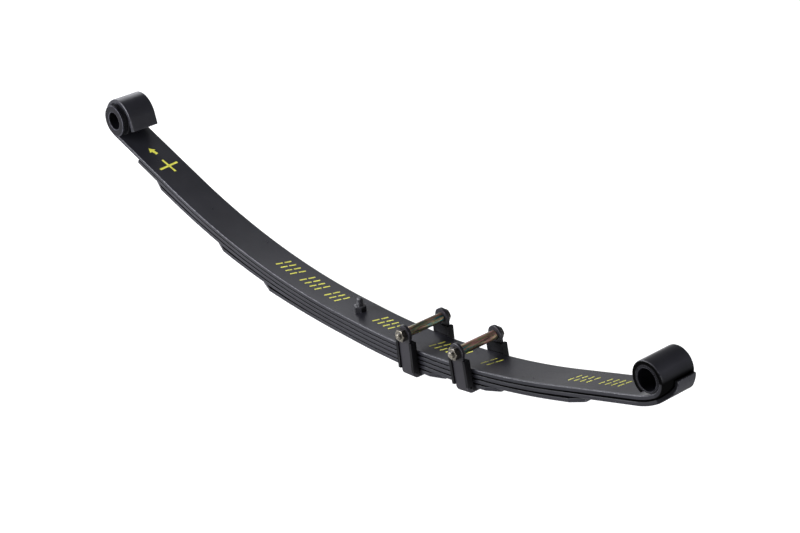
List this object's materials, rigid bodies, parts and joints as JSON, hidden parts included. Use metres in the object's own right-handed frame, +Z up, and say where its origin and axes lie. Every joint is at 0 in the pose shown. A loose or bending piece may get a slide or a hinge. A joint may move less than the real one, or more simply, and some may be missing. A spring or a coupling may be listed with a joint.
{
  "type": "leaf spring",
  "caption": "Semi-elliptic leaf spring pack with rolled eyes and bushes, a half-wrapped second leaf, a centre bolt and bolted rebound clips with plastic liners.",
  "frame": {"origin": "centre bolt's axis at the underside of the lowest leaf", "axes": "+X along the spring towards the eye beside the rebound clips, +Y across it along the eyes, +Z up from the seat"},
  "size_m": [1.2652, 0.0965, 0.2241],
  "materials": {
    "spring_steel": "satin black paint",
    "clip_steel": "satin black paint",
    "liner_plastic": "moulded black plastic",
    "zinc_plate": "yellow passivated zinc",
    "bolt_steel": "satin black paint",
    "nut_steel": "satin black paint",
    "bush_shell_steel": "phosphated steel",
    "bush_rubber": "matt black rubber",
    "bush_tube_steel": "machined steel"
  },
  "bodies": {
    "spring_pack": {"main_leaf": "spring_steel", "second_leaf": "spring_steel", "third_leaf": "spring_steel", "fourth_leaf": "spring_steel", "fifth_leaf": "spring_steel", "centre_bolt": "bolt_steel", "centre_nut": "nut_steel", "inner_clip_strap": "clip_steel", "inner_clip_liner": "liner_plastic", "inner_clip_bolt": "zinc_plate", "inner_clip_nut": "zinc_plate", "inner_clip_spacer": "zinc_plate", "inner_clip_rivet": "clip_steel", "outer_clip_strap": "clip_steel", "outer_clip_liner": "liner_plastic", "outer_clip_bolt": "zinc_plate", "outer_clip_nut": "zinc_plate", "outer_clip_spacer": "zinc_plate", "outer_clip_rivet": "clip_steel"},
    "left_eye": {"left_bush_shell": "bush_shell_steel", "left_bush_rubber": "bush_rubber"},
    "left_pivot": {"left_bush_tube": "bush_tube_steel"},
    "right_eye": {"right_bush_shell": "bush_shell_steel", "right_bush_rubber": "bush_rubber"},
    "right_pivot": {"right_bush_tube": "bush_tube_steel"}
  },
  "joints": [
    {"name": "left_flex", "type": "hinge", "parent": "spring_pack", "child": "left_eye", "pos_m": [-0.1669, 0, 0.0398], "axis": [0, -1, 0], "range_deg": [-2, 14], "stiffness_Nm_per_rad": 3400, "deforming": ["main_leaf", "second_leaf", "third_leaf", "fourth_leaf", "fifth_leaf"]},
    {"name": "left_twist", "type": "hinge", "parent": "left_eye", "child": "left_pivot", "pos_m": [-0.58423, 0, 0.18182], "axis": [0, 1, 0], "range_deg": [-20, 20], "stiffness_Nm_per_rad": 40},
    {"name": "right_flex", "type": "hinge", "parent": "spring_pack", "child": "right_eye", "pos_m": [0.1663, 0, 0.0392], "axis": [0, 1, 0], "range_deg": [-2, 14], "stiffness_Nm_per_rad": 3400, "deforming": ["main_leaf", "second_leaf", "third_leaf", "fourth_leaf", "fifth_leaf"]},
    {"name": "right_twist", "type": "hinge", "parent": "right_eye", "child": "right_pivot", "pos_m": [0.61259, 0, 0.17881], "axis": [0, 1, 0], "range_deg": [-20, 20], "stiffness_Nm_per_rad": 5}
  ]
}
